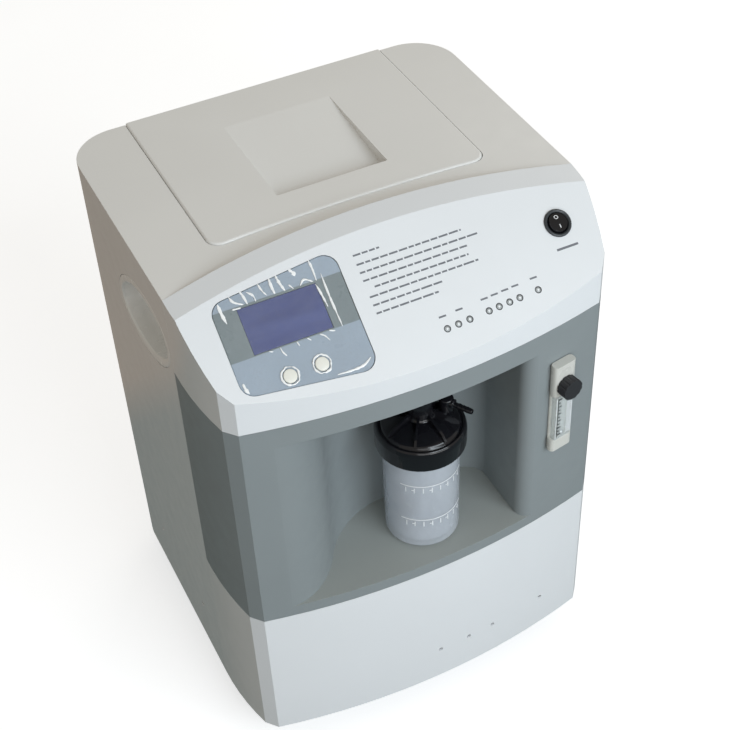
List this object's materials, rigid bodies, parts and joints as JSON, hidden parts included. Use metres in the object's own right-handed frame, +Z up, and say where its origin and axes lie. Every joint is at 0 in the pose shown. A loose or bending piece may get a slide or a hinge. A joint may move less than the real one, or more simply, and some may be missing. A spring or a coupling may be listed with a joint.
{
  "type": "oxygen concentrator",
  "caption": "Wheeled bedside oxygen concentrator: white and grey cabinet with a sloping display console, a humidifier bottle bay, a flow meter, a hinged top lid and side grips.",
  "frame": {"origin": "on the floor, under the middle of the object's outline", "axes": "+Z up, -Y out of the console and bottle bay, +X to the right as seen from the front"},
  "size_m": [0.365, 0.3546, 0.5165],
  "materials": {
    "white_shell": "fine moulded satin",
    "grey_shell": "fine moulded satin",
    "grip_white": "satin",
    "window_blue": "gloss under a clear film",
    "display_glass": "gloss",
    "ivory_key": "satin",
    "lamp_grey": "gloss",
    "black_gloss": "gloss",
    "black_matte": "moulded",
    "clear_plastic": "polished acrylic",
    "jar_plastic": "milky polypropylene",
    "meter_grey": "satin",
    "float_steel": "polished",
    "base_steel": "zinc plated",
    "pin_steel": "drawn",
    "wheel_rubber": "moulded",
    "rubber": "moulded",
    "motor_paint": "semi-gloss",
    "cast_alloy": "cast and machined",
    "copper": "drawn",
    "brass": "machined",
    "tank_plastic": "moulded",
    "coil_plastic": "moulded",
    "board_green": "solder mask",
    "silicone": "translucent",
    "red_key": "satin"
  },
  "bodies": {
    "cabinet": {"base_plate": "base_steel", "rear_casing": "white_shell", "front_cover": "white_shell", "bay_panel": "grey_shell", "lower_cover": "white_shell", "storage_tray": "grey_shell", "lid_hinge_pins": "pin_steel", "grip_left": "grip_white", "grip_right": "grip_white", "display_window": "window_blue", "display_module": "display_glass", "indicator_lights": "lamp_grey", "switch_housing": "black_gloss", "control_board": "board_green", "flow_meter_body": "meter_grey", "flow_meter_tube": "clear_plastic", "outlet_stub": "black_gloss", "compressor_motor": "motor_paint", "compressor_crankcases": "cast_alloy", "compressor_heads": "cast_alloy", "isolation_mounts": "rubber", "compressor_box": "base_steel", "fan_housing": "black_matte", "cooling_coil": "copper", "sieve_tubes": "cast_alloy", "sieve_caps": "cast_alloy", "valve_manifold": "cast_alloy", "solenoid_coils": "coil_plastic", "oxygen_tank": "tank_plastic", "pressure_regulator": "brass", "intake_housing": "black_matte", "intake_filter": "black_matte", "air_hoses": "rubber", "oxygen_tubes": "silicone", "run_capacitor": "tank_plastic", "power_inlet": "black_matte", "circuit_breaker": "black_matte", "cover_screws": "pin_steel"},
    "lid": {"top_lid": "white_shell"},
    "button_a": {"button_left": "ivory_key"},
    "button_b": {"button_right": "ivory_key"},
    "rocker": {"switch_rocker": "black_gloss"},
    "float": {"flow_float": "float_steel"},
    "knob": {"flow_knob": "black_gloss"},
    "bottle_cap": {"humidifier_cap": "black_gloss", "diffuser_tube": "jar_plastic"},
    "bottle_nut": {"humidifier_nut": "black_gloss"},
    "bottle_jar": {"humidifier_jar": "jar_plastic"},
    "motor_shaft": {"compressor_shaft": "pin_steel"},
    "fan": {"fan_rotor": "black_matte"},
    "filter_cover": {"filter_door": "white_shell"},
    "breaker_key": {"breaker_button": "red_key"},
    "caster_1": {"caster_fork_1": "base_steel"},
    "wheel_1": {"caster_wheel_1": "wheel_rubber"},
    "caster_2": {"caster_fork_2": "base_steel"},
    "wheel_2": {"caster_wheel_2": "wheel_rubber"},
    "caster_3": {"caster_fork_3": "base_steel"},
    "wheel_3": {"caster_wheel_3": "wheel_rubber"},
    "caster_4": {"caster_fork_4": "base_steel"},
    "wheel_4": {"caster_wheel_4": "wheel_rubber"}
  },
  "joints": [
    {"name": "lid_hinge", "type": "hinge", "parent": "cabinet", "child": "lid", "pos_m": [0, 0.17283, 0.481], "axis": [-1, 0, 0], "range_deg": [0, 95]},
    {"name": "button_a_press", "type": "slide", "parent": "cabinet", "child": "button_a", "axis": [0, 0.6101, -0.7923], "range_m": [0, 0.0012], "stiffness_N_per_m": 300, "springref_m": -0.001},
    {"name": "button_b_press", "type": "slide", "parent": "cabinet", "child": "button_b", "axis": [0, 0.6101, -0.7923], "range_m": [0, 0.0012], "stiffness_N_per_m": 300, "springref_m": -0.001},
    {"name": "rocker_tip", "type": "hinge", "parent": "cabinet", "child": "rocker", "pos_m": [0.143, -0.10831, 0.48347], "axis": [1, 0, 0], "range_deg": [0, 16]},
    {"name": "knob_turn", "type": "hinge", "parent": "cabinet", "child": "knob", "pos_m": [0.1215, -0.15706, 0.36], "axis": [0.1734, -0.9849, 0], "range_deg": [0, 1080]},
    {"name": "float_rise", "type": "slide", "parent": "cabinet", "child": "float", "axis": [0, 0, 1], "range_m": [0, 0.044]},
    {"name": "bottle_pull", "type": "slide", "parent": "cabinet", "child": "bottle_cap", "axis": [0, -1, 0], "range_m": [0, 0.12]},
    {"name": "nut_turn", "type": "hinge", "parent": "bottle_cap", "child": "bottle_nut", "pos_m": [0.0085, -0.1194, 0.36], "axis": [0, 0, 1], "continuous": true},
    {"name": "jar_unscrew", "type": "hinge", "parent": "bottle_cap", "child": "bottle_jar", "pos_m": [0.0085, -0.1194, 0.3], "axis": [0, 0, -1], "range_deg": [0, 450]},
    {"name": "shaft_spin", "type": "hinge", "parent": "cabinet", "child": "motor_shaft", "pos_m": [0.02, 0.012, 0.142], "axis": [1, 0, 0], "continuous": true},
    {"name": "fan_spin", "type": "hinge", "parent": "cabinet", "child": "fan", "pos_m": [0.02, 0.012, 0.25], "axis": [0, 0, 1], "continuous": true},
    {"name": "filter_cover_pull", "type": "slide", "parent": "cabinet", "child": "filter_cover", "axis": [0, 1, 0], "range_m": [0, 0.03]},
    {"name": "breaker_pop", "type": "slide", "parent": "cabinet", "child": "breaker_key", "axis": [0, 1, 0], "range_m": [0, 0.004]},
    {"name": "caster_1_swivel", "type": "hinge", "parent": "cabinet", "child": "caster_1", "pos_m": [-0.13, -0.094, 0.06], "axis": [0, 0, 1], "continuous": true},
    {"name": "caster_1_roll", "type": "hinge", "parent": "caster_1", "child": "wheel_1", "pos_m": [-0.13, -0.078, 0.024], "axis": [1, 0, 0], "continuous": true},
    {"name": "caster_2_swivel", "type": "hinge", "parent": "cabinet", "child": "caster_2", "pos_m": [0.13, -0.094, 0.06], "axis": [0, 0, 1], "continuous": true},
    {"name": "caster_2_roll", "type": "hinge", "parent": "caster_2", "child": "wheel_2", "pos_m": [0.13, -0.078, 0.024], "axis": [1, 0, 0], "continuous": true},
    {"name": "caster_3_swivel", "type": "hinge", "parent": "cabinet", "child": "caster_3", "pos_m": [-0.13, 0.132, 0.06], "axis": [0, 0, 1], "continuous": true},
    {"name": "caster_3_roll", "type": "hinge", "parent": "caster_3", "child": "wheel_3", "pos_m": [-0.13, 0.148, 0.024], "axis": [1, 0, 0], "continuous": true},
    {"name": "caster_4_swivel", "type": "hinge", "parent": "cabinet", "child": "caster_4", "pos_m": [0.13, 0.132, 0.06], "axis": [0, 0, 1], "continuous": true},
    {"name": "caster_4_roll", "type": "hinge", "parent": "caster_4", "child": "wheel_4", "pos_m": [0.13, 0.148, 0.024], "axis": [1, 0, 0], "continuous": true}
  ],
  "couplings": [
    {"joint": "float_rise", "follows": "knob_turn", "m_per_rad": 0.00233}
  ]
}
